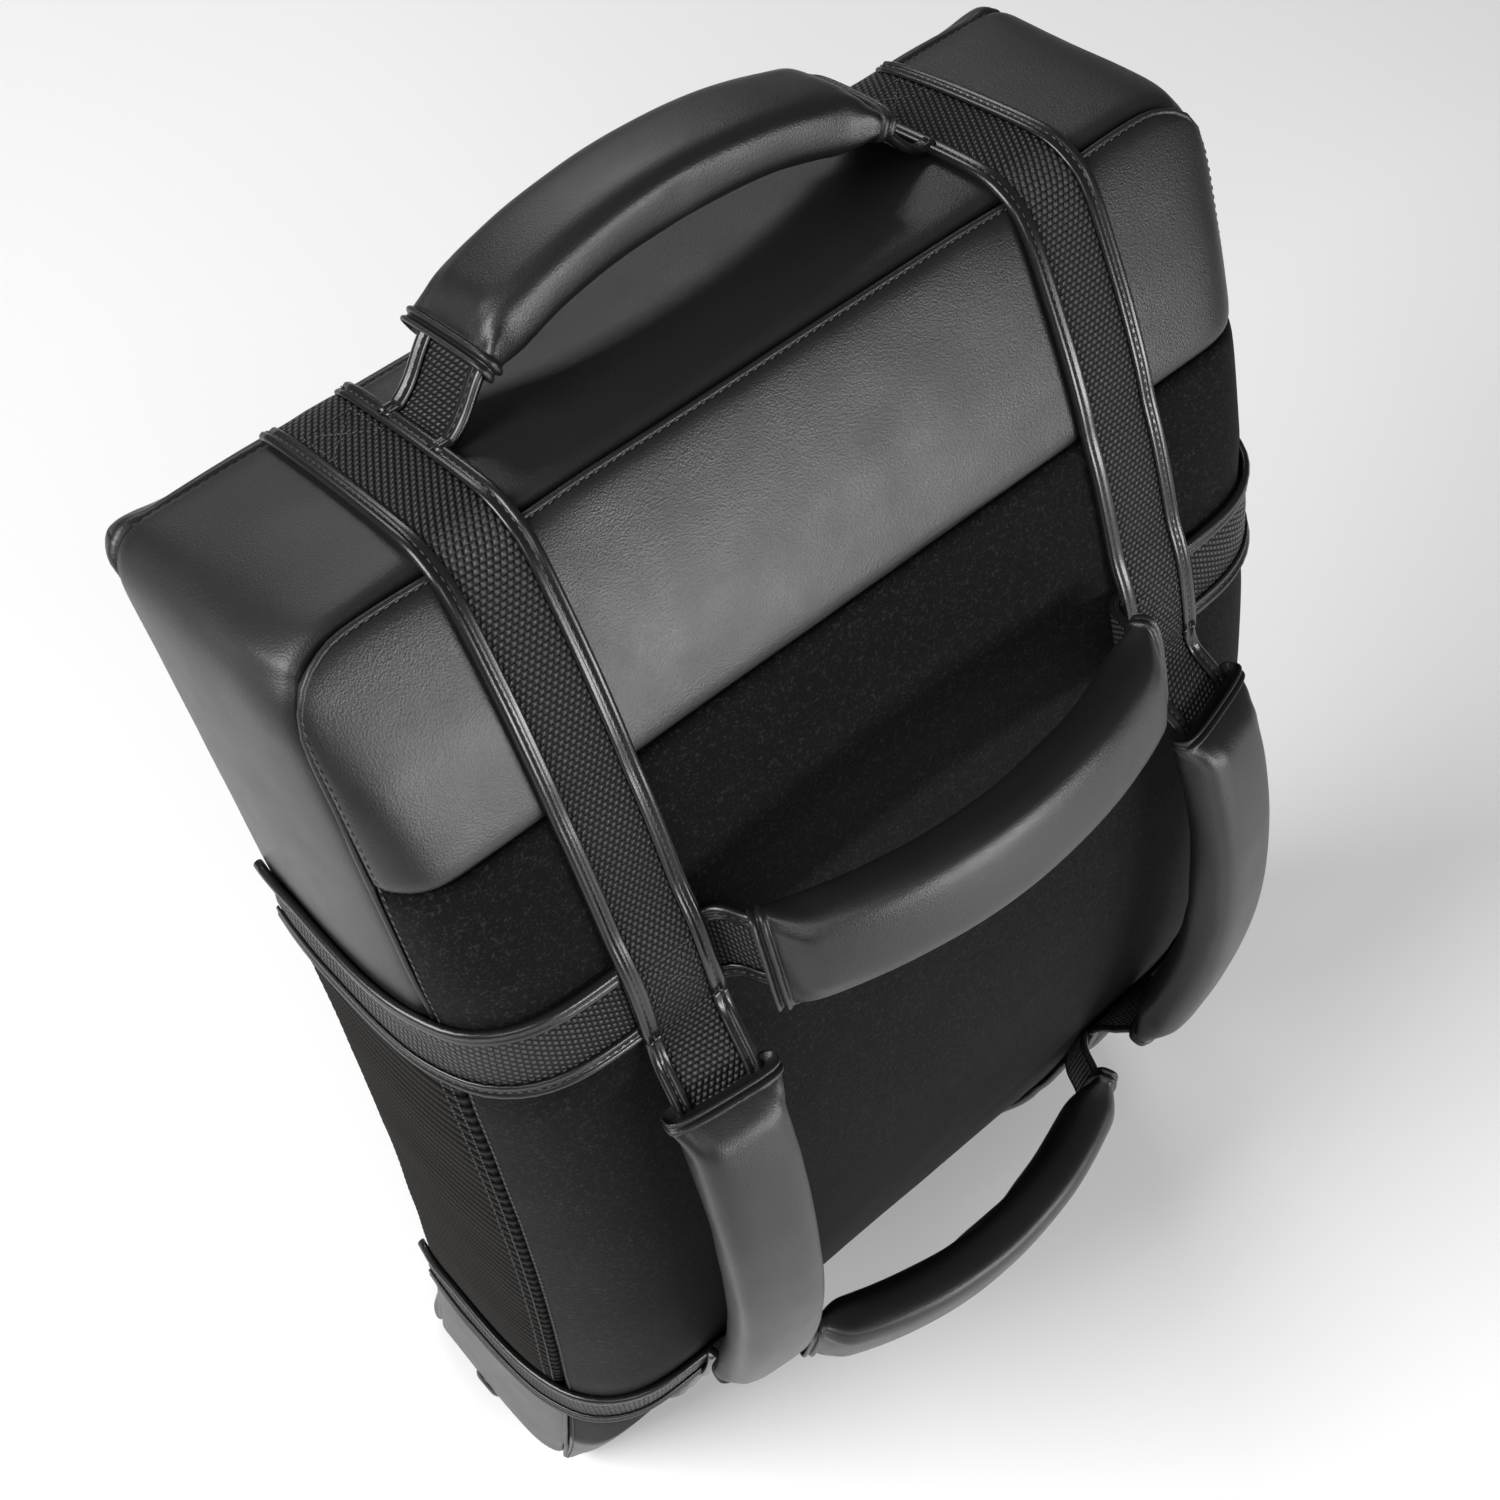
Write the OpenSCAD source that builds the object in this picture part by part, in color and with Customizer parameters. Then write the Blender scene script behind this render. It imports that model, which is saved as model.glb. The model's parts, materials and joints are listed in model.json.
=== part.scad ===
// Curved kick shield (large thai pad): a bent foam block in a sewn cover, held in a harness of
// bound webbing, with five padded handles. Millimetres, +Z up, +X to the holder's right,
// the handles on the -Y side and the hollow strike face on +Y. The origin is the middle of the
// bottom face, on which the shield stands.

/* [Pad] */
// Width from side to side
pad_w = 400; // [380:5:440]
// Straight height between the middles of the two end faces
pad_h = 626; // [600:2:660]
// Thickness along the seamed edges
edge_t = 108; // [100:2:116]
// Extra thickness of the padded back at its middle
crown = 34; // [28:1:38]
// Radius of the hollow strike face
bend_r = 940; // [900:10:1040]
// Radius where the back rolls over into the sides
roll_r = 58; // [54:1:60]
// Radius of the strike face's edges
front_r = 10; // [6:1:10]

/* [Cover] */
// Thickness of the cover
skin_t = 2.5; // [1.5:0.5:3]
// How far the strike cover wraps round to its seam
lip = 12; // [11:1:16]
// Height of the leather panels at the top and bottom of the back
yoke_h = 78; // [70:2:100]
// Thickness of the firm foam behind the strike face
strike_foam_t = 36; // [25:1:50]

/* [Harness] */
// Width of the webbing with its bound edges
strap_w = 36; // [32:1:40]
// Thickness of the webbing
web_t = 2.5; // [2:0.5:3]
// Width of one bound edge
bind_w = 3; // [2:0.5:4]
// Thickness of a bound edge
bind_t = 4; // [3:0.5:5]
// Distance of a strap's middle from the centre line
strap_x = 120; // [112:1:123]
// Height of the crossings above and below the middle
cross_z = 155; // [150:1:165]

/* [Handles] */
// Width of a padded grip
grip_w = 42; // [38:1:46]
// Thickness of a padded grip
grip_t = 26; // [22:1:28]
// Thickness of a grip's leather
grip_skin = 2; // [1.5:0.5:2.5]
// Furthest that a handle swings to each side
swing = 30; // [15:1:30]
// How far the left handle leans towards its side at rest
rest_left = 8; // [0:1:15]
// How far the right handle leans towards its side at rest
rest_right = 15; // [0:1:15]
// Clearance between a handle and its roots
swing_gap = 0.5; // [0.4:0.1:1]

/* [Vents] */
// Radius of a vent eyelet's flange
eyelet_r = 9; // [7:0.5:10]
// Radius of its hole
eyelet_hole_r = 4; // [3:0.5:5]
// Height of its centre above the bottom edge
eyelet_z = 20; // [18:1:30]

/* [Hidden] */
$fn = 96;
leather = [0.13, 0.13, 0.14];
sheen_leather = [0.17, 0.17, 0.18];
neoprene = [0.05, 0.05, 0.05];
webbing = [0.08, 0.08, 0.08];
foam = [0.75, 0.73, 0.68];
firm_foam = [0.55, 0.58, 0.62];

half_h = pad_h / 2;
seam_r = bend_r + edge_t;
mid_r = bend_r + edge_t / 2;
end_a = asin(half_h / mid_r);
// The end faces are cut halfway between level and square to the bend, so a shield that stands
// on one leans forward by the same angle.
lean = end_a / 2;
end_y = bend_r - sqrt(mid_r * mid_r - half_h * half_h);
foot_y = half_h * sin(lean) - end_y * cos(lean);
foot_z = half_h * cos(lean) + end_y * sin(lean);
// Where the back seam meets an end face
reach = (bend_r - end_y) * cos(lean) + half_h * sin(lean);
seam_t = sqrt(reach * reach + seam_r * seam_r - mid_r * mid_r) - reach;
seam_y = end_y - seam_t * cos(lean);
seam_z = half_h + seam_t * sin(lean);
// The crowned back is an arc through both end seams
crown_sag = seam_y + edge_t + crown;
crown_r = (seam_z * seam_z + crown_sag * crown_sag) / (2 * crown_sag);
crown_y = crown_r - edge_t - crown;
roll_c = seam_r + crown + 1 - roll_r;
far = 400;
wide_x = pad_w;
strap_in = strap_x - strap_w / 2;
strap_out = strap_x + strap_w / 2;
web_w = strap_w - 2 * bind_w;
cross_edge = cross_z - strap_w / 2;
root_r = web_w / 2;
swing_room_a = swing + 5;
// Each handle: half distance between roots, half length of the grip, height of its centre line
// at the middle and at the grip's ends
flat_handle = [strap_in - 3, 90, 48, 26];
carry_handle = [92, 80, 42, 26];
// Flat stretch of the carry handle's webbing that runs under the straps
carry_tail = strap_in - carry_handle[0] - web_t / 2;
upright_root = cross_edge - 4;
upright_handle = [upright_root, 110, 46, 26];
upright_y = crown_y - sqrt(crown_r * crown_r - upright_root * upright_root);
flat_y = crown_y - sqrt(crown_r * crown_r - cross_z * cross_z);
flat_a = asin(cross_z / crown_r);

// Places

// From the pad's own frame, with its ends level with each other, to the standing shield
module stand() {
    translate([0, foot_y, foot_z]) rotate([-lean, 0, 0]) children();
}

module on_top() {
    stand() translate([0, end_y, half_h]) rotate([-lean, 0, 0]) children();
}

module on_back(up) {
    stand() translate([0, flat_y, up * cross_z]) rotate([90 - up * flat_a, 0, 0]) children();
}

module on_side_strap(side) {
    stand() translate([side * strap_x, upright_y, 0]) rotate([90, -90, 0]) children();
}

// The same, leaning about the hinge line as the handle does at rest
module leaning(side) {
    on_side_strap(side) rotate([side < 0 ? -rest_left : rest_right, 0, 0]) children();
}

// Pad outlines

// Cross-section as (distance from the bend's centre, across), grown by d
module section(d) {
    for (side = [-1, 1]) {
        translate([roll_c, side * (pad_w / 2 - roll_r)]) circle(roll_r + d);
        translate([bend_r + front_r, side * (pad_w / 2 - front_r)]) circle(front_r + d);
    }
    translate([bend_r + front_r, -pad_w / 2 - d]) square([roll_c - bend_r - front_r, pad_w + 2 * d]);
    translate([roll_c - 1, roll_r - pad_w / 2]) square([roll_r + d + 1, pad_w - 2 * roll_r]);
    translate([bend_r - d, front_r - pad_w / 2]) square([front_r + d + 1, pad_w - 2 * front_r]);
}

module sweep() {
    translate([0, bend_r, 0])
        rotate([0, 90, 0])
            rotate_extrude(angle = 60, start = -120) children();
}

// Height of the upper end face, moved out by d, at depth y
function end_z(y, d) = half_h + (d - sin(lean) * (y - end_y)) / cos(lean);

module between_ends(d) {
    polygon([
        [-far, -end_z(-far, d)],
        [far, -end_z(far, d)],
        [far, end_z(far, d)],
        [-far, end_z(-far, d)]
    ]);
}

// Side view as (y, z), grown by d
module outline(d) {
    intersection() {
        translate([crown_y, 0]) circle(crown_r + d, $fn = 240);
        between_ends(d);
    }
}

// Extrudes a side view across the shield
module across(x0, x1) {
    translate([x0, 0, 0]) rotate([90, 0, 90]) linear_extrude(x1 - x0) children();
}

// Everything closer than r to the bend's centre
module within(r) {
    across(-wide_x, wide_x) translate([bend_r, 0]) circle(r, $fn = 360);
}

module band(z0, z1) {
    translate([-wide_x, -far, z0]) cube([2 * wide_x, 2 * far, z1 - z0]);
}

module half(side) {
    translate([side > 0 ? 0 : -wide_x, -far, -far]) cube([wide_x, 2 * far, 2 * far]);
}

module shell(d) {
    intersection() {
        sweep() section(d);
        across(-pad_w / 2 - d - 1, pad_w / 2 + d + 1) outline(d);
    }
}

// Foam

module foam_core() {
    intersection() {
        shell(-skin_t);
        children();
    }
}

module strike_foam() {
    color(firm_foam) stand() foam_core() within(bend_r + strike_foam_t);
}

module core_foam() {
    color(foam) stand() difference() {
        foam_core() within(seam_r - skin_t);
        within(bend_r + strike_foam_t);
    }
}

module back_foam() {
    color(firm_foam) stand() difference() {
        shell(-skin_t);
        within(seam_r - skin_t);
    }
}

// Cover

module strike_cover() {
    color(leather) stand() difference() {
        intersection() {
            shell(0);
            within(bend_r + lip);
        }
        shell(-skin_t);
    }
}

module end_gusset(up) {
    color(leather) stand() difference() {
        shell(0);
        within(bend_r + lip);
        across(-wide_x, wide_x) between_ends(-skin_t);
        band(up > 0 ? -pad_h : 0, up > 0 ? 0 : pad_h);
    }
}

// The cover between the two end gussets and behind the strike cover's seam
module tube_skin() {
    intersection() {
        difference() {
            shell(0);
            shell(-skin_t);
            within(bend_r + lip);
        }
        across(-wide_x, wide_x) between_ends(-skin_t);
        children();
    }
}

module side_panel(side, z0, z1) {
    tube_skin() intersection() {
        half(side);
        band(z0, z1);
        within(seam_r);
    }
}

module eyelet_place(side) {
    translate([side * pad_w / 2, -edge_t / 2 + eyelet_depth(), eyelet_z - half_h])
        rotate([0, side * 90, 0])
            children();
}

// Depth of the bend at the eyelet's height
function eyelet_depth() = mid_r - sqrt(mid_r * mid_r - pow(half_h - eyelet_z, 2));

module side_leather_upper(side) {
    color(sheen_leather) stand() side_panel(side, cross_z, far);
}

module side_mesh(side) {
    color(webbing) stand() side_panel(side, -cross_z, cross_z);
}

module side_leather_lower(side) {
    color(sheen_leather) stand() difference() {
        side_panel(side, -far, -cross_z);
        eyelet_place(side) cylinder(r = eyelet_r - 2, h = 4 * skin_t, center = true);
    }
}

module back_panel(z0, z1) {
    tube_skin() difference() {
        band(z0, z1);
        within(seam_r);
    }
}

module back_leather_upper() {
    color(leather) stand() back_panel(half_h - yoke_h, far);
}

module back_neoprene() {
    color(neoprene) stand() back_panel(yoke_h - half_h, half_h - yoke_h);
}

module back_leather_lower() {
    color(leather) stand() back_panel(-far, yoke_h - half_h);
}

module vent_eyelet(side) {
    color("black") stand() eyelet_place(side) difference() {
        union() {
            translate([0, 0, -skin_t]) cylinder(r = eyelet_r - 2, h = skin_t + 0.5);
            cylinder(r = eyelet_r, h = 1.5);
        }
        translate([0, 0, -2 * skin_t]) cylinder(r = eyelet_hole_r, h = 4 * skin_t);
    }
}

// Harness

// A strip laid on the back and the top from x0 to x1, t thick
module upper_strip(x0, x1, t) {
    across(x0, x1) difference() {
        outline(t);
        outline(0);
        translate([bend_r, 0]) circle(bend_r + lip, $fn = 360);
        translate([-far, -pad_h]) square([2 * far, pad_h + cross_edge]);
    }
}

// The same on the back below the lower crossing, down to the bottom seam
module lower_strip(x0, x1, t) {
    across(x0, x1) intersection() {
        translate([crown_y, 0]) difference() {
            circle(crown_r + t, $fn = 240);
            circle(crown_r, $fn = 240);
        }
        between_ends(0);
        translate([-far, -pad_h]) square([far, pad_h - cross_edge]);
    }
}

module strap_upper(side) {
    x = side * strap_x;
    color(webbing) stand() upper_strip(x - web_w / 2, x + web_w / 2, web_t);
}

module strap_lower(side) {
    x = side * strap_x;
    color(webbing) stand() lower_strip(x - web_w / 2, x + web_w / 2, web_t);
}

module strap_binding(side) {
    color(leather) stand() for (edge = [-strap_w / 2, strap_w / 2 - bind_w]) {
        x = side * strap_x + edge;
        upper_strip(x, x + bind_w, bind_t);
        lower_strip(x, x + bind_w, bind_t);
    }
}

// A strip round one side, from the strike seam to the strap's outer edge
module side_strip(side, z0, z1, t) {
    difference() {
        intersection() {
            shell(t);
            band(z0, z1);
            translate([side > 0 ? strap_out : -strap_out - far, -far, -far]) cube([far, 2 * far, 2 * far]);
        }
        shell(0);
        within(bend_r + lip);
    }
}

module belt(side, up) {
    z = up * cross_z;
    color(webbing) stand() side_strip(side, z - web_w / 2, z + web_w / 2, web_t);
}

module belt_binding(side) {
    color(leather) stand() for (up = [-1, 1], edge = [-strap_w / 2, strap_w / 2 - bind_w]) {
        z = up * cross_z + edge;
        side_strip(side, z, z + bind_w, bind_t);
    }
}

// Handles, each in a frame with X from root to root and Z away from the pad

function bow_r(h) = (h[1] * h[1] + pow(h[2] - h[3], 2)) / (2 * (h[2] - h[3]));
function bow_a(h) = asin(h[1] / bow_r(h));

module broad(w) {
    rotate([90, 0, 0]) linear_extrude(w, center = true) children();
}

// Rounded cross-section of a grip, d smaller all round
module grip_section(d) {
    r = grip_t / 2 - 2;
    w = grip_w / 2 - r;
    t = grip_t / 2 - r;
    for (u = [-t, t], v = [-w, w]) translate([u, v]) circle(r - d);
    square([grip_t - 2 * d, 2 * w], center = true);
    square([2 * t, grip_w - 2 * d], center = true);
}

module bowed(h) {
    translate([0, 0, h[2] - bow_r(h)])
        rotate([90, 0, 0])
            rotate_extrude(angle = 2 * bow_a(h), start = 90 - bow_a(h))
                translate([bow_r(h), 0]) children();
}

// The webbing's whole path: an arc through the grip and a straight leg to each root
module handle_webbing(h) {
    leg = [h[0] - h[1], h[3]];
    broad(web_w) union() {
        intersection() {
            translate([0, h[2] - bow_r(h)]) difference() {
                circle(bow_r(h) + web_t / 2, $fn = 200);
                circle(bow_r(h) - web_t / 2, $fn = 200);
            }
            translate([-h[1], 0]) square([2 * h[1], 2 * h[2]]);
        }
        for (side = [-1, 1])
            translate([side * h[1], h[3]])
                rotate(-90 + side * atan2(leg[0], leg[1]))
                    translate([-web_t / 2, -web_t / 2]) square([norm(leg) + web_t, web_t]);
    }
}

// The hinge line's surroundings, which the roots fill and the handle leaves free
module root_room(h, r) {
    rotate([0, 90, 0]) cylinder(r = r, h = 3 * h[0], center = true);
}

// Below these slopes a swinging handle would meet the pad
module swing_room(h) {
    drop = tan(swing_room_a);
    rotate([90, 0, 90])
        linear_extrude(3 * h[0], center = true)
            polygon([[0, 1], [far, 1 + far * drop], [far, -far], [-far, -far], [-far, 1 + far * drop]]);
}

module handle_roots(h, tail) {
    color(webbing) intersection() {
        handle_webbing(h);
        root_room(h, root_r);
        translate([-far, -far, 0]) cube([2 * far, 2 * far, far]);
    }
    color(webbing) for (side = [-1, 1])
        translate([side * (h[0] + tail / 2), 0, web_t / 2])
            cube([tail + web_t, web_w, web_t], center = true);
}

// The upright handles' roots lie on the crowned back, which bulges between them
module upright_roots(side) {
    difference() {
        on_side_strap(side) handle_roots(upright_handle, 0);
        stand() across(-wide_x, wide_x) translate([crown_y, 0]) circle(crown_r + 0.1, $fn = 240);
    }
}

module handle_web(h) {
    color(webbing) difference() {
        handle_webbing(h);
        root_room(h, root_r + swing_gap);
        swing_room(h);
    }
}

module grip_foam(h) {
    color(foam) difference() {
        bowed(h) grip_section(grip_skin);
        handle_webbing(h);
        swing_room(h);
    }
}

module grip_cover(h) {
    color(leather) difference() {
        bowed(h) difference() {
            grip_section(0);
            grip_section(grip_skin);
        }
        swing_room(h);
    }
}

strike_foam();
core_foam();
back_foam();
strike_cover();
end_gusset(1);  // top_gusset
end_gusset(-1);  // bottom_gusset
side_leather_upper(-1);  // side_leather_upper_left
side_leather_upper(1);  // side_leather_upper_right
side_mesh(-1);  // side_mesh_left
side_mesh(1);  // side_mesh_right
side_leather_lower(-1);  // side_leather_lower_left
side_leather_lower(1);  // side_leather_lower_right
back_leather_upper();
back_neoprene();
back_leather_lower();
vent_eyelet(-1);  // vent_eyelet_left
vent_eyelet(1);  // vent_eyelet_right
strap_upper(-1);  // strap_upper_left
strap_upper(1);  // strap_upper_right
strap_lower(-1);  // strap_lower_left
strap_lower(1);  // strap_lower_right
belt(-1, 1);  // belt_upper_left
belt(1, 1);  // belt_upper_right
belt(-1, -1);  // belt_lower_left
belt(1, -1);  // belt_lower_right
strap_binding(-1);  // strap_binding_left
strap_binding(1);  // strap_binding_right
belt_binding(-1);  // belt_binding_left
belt_binding(1);  // belt_binding_right
on_top() handle_roots(carry_handle, carry_tail);  // top_handle_roots
on_back(1) handle_roots(flat_handle, 0);  // middle_handle_roots
on_back(-1) handle_roots(flat_handle, 0);  // lower_handle_roots
upright_roots(-1);  // left_handle_roots
upright_roots(1);  // right_handle_roots
on_top() handle_web(carry_handle);  // top_handle_web
on_back(1) handle_web(flat_handle);  // middle_handle_web
on_back(-1) handle_web(flat_handle);  // lower_handle_web
leaning(-1) handle_web(upright_handle);  // left_handle_web
leaning(1) handle_web(upright_handle);  // right_handle_web
on_top() grip_foam(carry_handle);  // top_grip_foam
on_back(1) grip_foam(flat_handle);  // middle_grip_foam
on_back(-1) grip_foam(flat_handle);  // lower_grip_foam
leaning(-1) grip_foam(upright_handle);  // left_grip_foam
leaning(1) grip_foam(upright_handle);  // right_grip_foam
on_top() grip_cover(carry_handle);  // top_grip_cover
on_back(1) grip_cover(flat_handle);  // middle_grip_cover
on_back(-1) grip_cover(flat_handle);  // lower_grip_cover
leaning(-1) grip_cover(upright_handle);  // left_grip_cover
leaning(1) grip_cover(upright_handle);  // right_grip_cover
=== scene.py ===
import json
import math

import bmesh
import bpy
from mathutils import Matrix, Vector, geometry, noise
from mathutils.bvhtree import BVHTree
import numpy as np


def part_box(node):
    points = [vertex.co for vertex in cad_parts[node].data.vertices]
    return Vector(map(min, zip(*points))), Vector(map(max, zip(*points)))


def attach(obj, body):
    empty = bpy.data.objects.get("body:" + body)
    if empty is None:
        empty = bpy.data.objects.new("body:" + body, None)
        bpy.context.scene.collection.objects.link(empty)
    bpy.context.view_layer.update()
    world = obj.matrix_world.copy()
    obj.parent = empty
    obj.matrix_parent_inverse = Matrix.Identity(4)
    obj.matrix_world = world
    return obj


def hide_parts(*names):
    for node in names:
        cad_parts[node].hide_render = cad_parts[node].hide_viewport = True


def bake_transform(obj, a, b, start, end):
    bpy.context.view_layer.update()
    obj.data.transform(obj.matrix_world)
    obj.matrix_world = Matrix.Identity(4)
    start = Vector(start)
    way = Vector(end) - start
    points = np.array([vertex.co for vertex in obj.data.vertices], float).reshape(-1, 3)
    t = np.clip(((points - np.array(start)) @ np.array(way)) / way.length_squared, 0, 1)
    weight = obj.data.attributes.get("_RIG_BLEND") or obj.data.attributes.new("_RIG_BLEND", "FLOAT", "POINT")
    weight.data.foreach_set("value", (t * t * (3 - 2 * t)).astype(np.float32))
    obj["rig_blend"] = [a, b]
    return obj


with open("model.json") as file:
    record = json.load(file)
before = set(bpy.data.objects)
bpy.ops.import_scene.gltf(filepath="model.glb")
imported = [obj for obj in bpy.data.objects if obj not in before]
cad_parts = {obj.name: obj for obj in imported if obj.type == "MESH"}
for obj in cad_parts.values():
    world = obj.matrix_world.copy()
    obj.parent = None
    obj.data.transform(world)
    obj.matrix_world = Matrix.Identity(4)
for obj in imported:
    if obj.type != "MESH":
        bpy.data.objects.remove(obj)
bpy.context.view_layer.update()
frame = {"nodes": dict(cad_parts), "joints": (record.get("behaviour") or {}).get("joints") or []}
joints = {j["name"]: j for j in frame["joints"]}
scene = bpy.context.scene

# The shield, in metres. Its own frame has x across, y = 0 at the strike face with the handles
# on -y, and z = 0 at mid height. The matrix stand makes it lean on its lower end face.
pad = {
    "width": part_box("strike_cover")[1].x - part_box("strike_cover")[0].x,
    "height": 0.626,        # straight, between the middles of the end faces
    "edge": 0.108,          # depth at the back seam
    "crown": 0.034,         # extra depth at the middle of the back
    "bend": 0.940,          # radius of the hollow strike face
    "roll": 0.058,          # radius from the side into the back
    "frontRound": 0.010,
    "lip": 0.012,           # depth of the strike cover's seam
    "yoke": 0.078,          # height of the back's two leather panels
    "corner": (0.014, 0.026),   # corner radius at the front and at the back seam
    "soften": 0.012,        # how softly the roll meets the crowned back
    "grid": 0.008,          # size of the cover's facets
}
harness = {
    "strapX": 0.120,
    "crossZ": 0.155,
    "wide": 0.036,
    "tuck": 0.014,          # how far a belt runs under the strap
    "lift": 0.0004,
    "hop": 0.0032,          # how much a strap rises over a belt
    "hopReach": 0.030,
}
halfWide, halfHigh = pad["width"] / 2, pad["height"] / 2
lean = math.asin(joints["left_handle_swing"]["axis"][1])
seamR = pad["bend"] + pad["edge"]
midR = pad["bend"] + pad["edge"] / 2
endReach = midR * math.sin(lean)
endY = pad["bend"] - math.sqrt(midR ** 2 - halfHigh ** 2)
footY = halfHigh * math.sin(lean) - endY * math.cos(lean)
footZ = halfHigh * math.cos(lean) + endY * math.sin(lean)
rollC = pad["edge"] + pad["crown"] + 0.001 - pad["roll"]      # depth where the roll starts


def endHeight(r):                          # height of an end face at radius r of the bend
    return r * math.sin(lean + math.asin(endReach / r))


tiny = 1e-5
nearFloor = 0.004                          # what lies lower than this keeps its place
seamZ = endHeight(seamR)
seamY = pad["bend"] - math.sqrt(seamR ** 2 - seamZ ** 2)
crownSag = seamY + pad["edge"] + pad["crown"]
crownR = (seamZ ** 2 + crownSag ** 2) / (2 * crownSag)
crownY = crownR - pad["edge"] - pad["crown"]
stand = Matrix.Translation((0, footY, footZ)) @ Matrix.Rotation(-lean, 4, "X")
yokeZ = halfHigh - pad["yoke"]


def turn(angle, axis):
    return Matrix.Rotation(angle, 4, axis)


# Camera and light

camera = {"place": (-0.3305, -0.2895, 1.1820), "azimuth": 44.68, "elevation": 59.48, "roll": 4.52,
          "lens": 53.66}


def makeCamera():
    data = bpy.data.cameras.new("camera")
    data.lens = camera["lens"]
    data.sensor_width = 36
    data.clip_start = 0.01
    eye = bpy.data.objects.new("camera", data)
    scene.collection.objects.link(eye)
    heading = turn(math.radians(-camera["azimuth"]), "Z")
    tilt = turn(math.radians(90 - camera["elevation"]), "X")
    roll = turn(math.radians(camera["roll"]), "Z")
    eye.matrix_world = Matrix.Translation(camera["place"]) @ heading @ tilt @ roll
    scene.camera = eye


# name: place, target, width, height, watts
lights = {
    "key": ((-1.7, 0.5, 1.9), (0, 0, 0.3), 1.3, 1.3, 68),
    "window": ((0.6, 1.7, 1.6), (0, 0, 0.45), 1.0, 0.4, 9),
    "front": ((0.55, -2.0, 0.7), (0, 0, 0.35), 1.3, 0.34, 34),
    "fill": ((-0.9, -1.1, 1.7), (0, 0, 0.3), 0.9, 0.9, 9),
}


skyLight = 0.14


def makeLights():
    for name, (place, target, wide, high, power) in lights.items():
        data = bpy.data.lights.new(name, "AREA")
        data.shape = "RECTANGLE"
        data.size = wide
        data.size_y = high
        data.energy = power
        lamp = bpy.data.objects.new(name, data)
        scene.collection.objects.link(lamp)
        lamp.location = place
        lamp.rotation_euler = (Vector(place) - Vector(target)).to_track_quat("Z", "Y").to_euler()
    scene.view_settings.view_transform = "Standard"
    world = bpy.data.worlds.new("studio")
    scene.world = world
    world.use_nodes = True
    world.node_tree.nodes["Background"].inputs[0].default_value = (1, 1, 1, 1)
    world.node_tree.nodes["Background"].inputs[1].default_value = skyLight


# Materials

class Value:                               # a shader socket that takes part in arithmetic
    def __init__(self, paint, socket):
        self.paint, self.socket = paint, socket

    def maths(self, operation, *others):
        inputs = dict(enumerate((self,) + others))
        return self.paint.add("ShaderNodeMath", {"operation": operation}, inputs)

    def __add__(self, other):
        return self.maths("ADD", other)

    __radd__ = __add__

    def __mul__(self, other):
        return self.maths("MULTIPLY", other)

    __rmul__ = __mul__

    def __sub__(self, other):
        return self.maths("SUBTRACT", other)

    def __rsub__(self, other):
        return (self * -1).maths("ADD", other)

    def __truediv__(self, other):
        return self.maths("DIVIDE", other)

    def __pow__(self, other):
        return self.maths("POWER", other)

    def floor(self):
        return self.maths("FLOOR")

    def fract(self):
        return self.maths("FRACT")


class Paint:                               # one material and its Principled shader
    def __init__(self, name, **plain):
        self.material = bpy.data.materials.new(name)
        self.material.use_nodes = True
        self.tree = self.material.node_tree
        self.shader = self.tree.nodes["Principled BSDF"]
        for socket, value in plain.items():
            self.shader.inputs[socket.replace("_", " ")].default_value = value

    def add(self, kind, settings=None, inputs=None, output=0):
        node = self.tree.nodes.new(kind)
        for key, value in (settings or {}).items():
            setattr(node, key, value)
        for key, value in (inputs or {}).items():
            self.feed(node.inputs[key], value)
        return Value(self, node.outputs[output])

    def feed(self, socket, value):
        if isinstance(value, Value):
            self.tree.links.new(value.socket, socket)
        else:
            socket.default_value = value

    def set(self, name, value):
        self.feed(self.shader.inputs[name], value)

    def place(self):
        return self.add("ShaderNodeTexCoord", output="Object")

    def cloth(self):                       # the piece's own UV map, in metres: across, along
        uv = self.add("ShaderNodeTexCoord", output="UV")
        split = self.tree.nodes.new("ShaderNodeSeparateXYZ")
        self.feed(split.inputs[0], uv)
        return Value(self, split.outputs[0]), Value(self, split.outputs[1])

    def noise(self, scale, detail=2.0, rough=0.5, at=None):
        return self.add("ShaderNodeTexNoise", {}, {"Vector": at or self.place(), "Scale": scale,
                                                   "Detail": detail, "Roughness": rough})

    def cells(self, scale, at=None):
        return self.add("ShaderNodeTexVoronoi", {"feature": "F1"},
                        {"Vector": at or self.place(), "Scale": scale})

    def mix(self, share, dark, light):
        return self.add("ShaderNodeMix", {"data_type": "RGBA"}, {0: share, 6: dark, 7: light}, 2)

    def ramp(self, value, low, high, start=0.0, end=1.0):
        return self.add("ShaderNodeMapRange", {"interpolation_type": "SMOOTHSTEP"},
                        {"Value": value, "From Min": low, "From Max": high,
                         "To Min": start, "To Max": end})

    def bump(self, height, distance, strength=1.0):
        normal = self.add("ShaderNodeBump", {}, {"Height": height, "Distance": distance,
                                                 "Strength": strength})
        self.set("Normal", normal)


def grey(value, warm=0.0):
    return (value * (1 + warm), value, value * (1 - warm), 1)


def makeLeather(name, shade, rough, grain, wear, relief=0.00013):
    paint = Paint(name, IOR=1.5)
    pebble = paint.cells(1 / grain)
    fine = paint.noise(2.6 / grain, 3)
    broad = paint.noise(11, 2)
    patch = paint.noise(60, 3)
    paint.set("Base Color", paint.mix(broad * 0.7 + fine * 0.3, grey(shade * 0.8, 0.02),
                                      grey(shade * 1.3, 0.02)))
    paint.set("Roughness", rough + (patch - 0.5) * wear + (fine - 0.5) * 0.12)
    paint.bump(pebble * 0.5 + fine * 0.5 + patch * 0.35, relief)
    return paint.material


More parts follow.
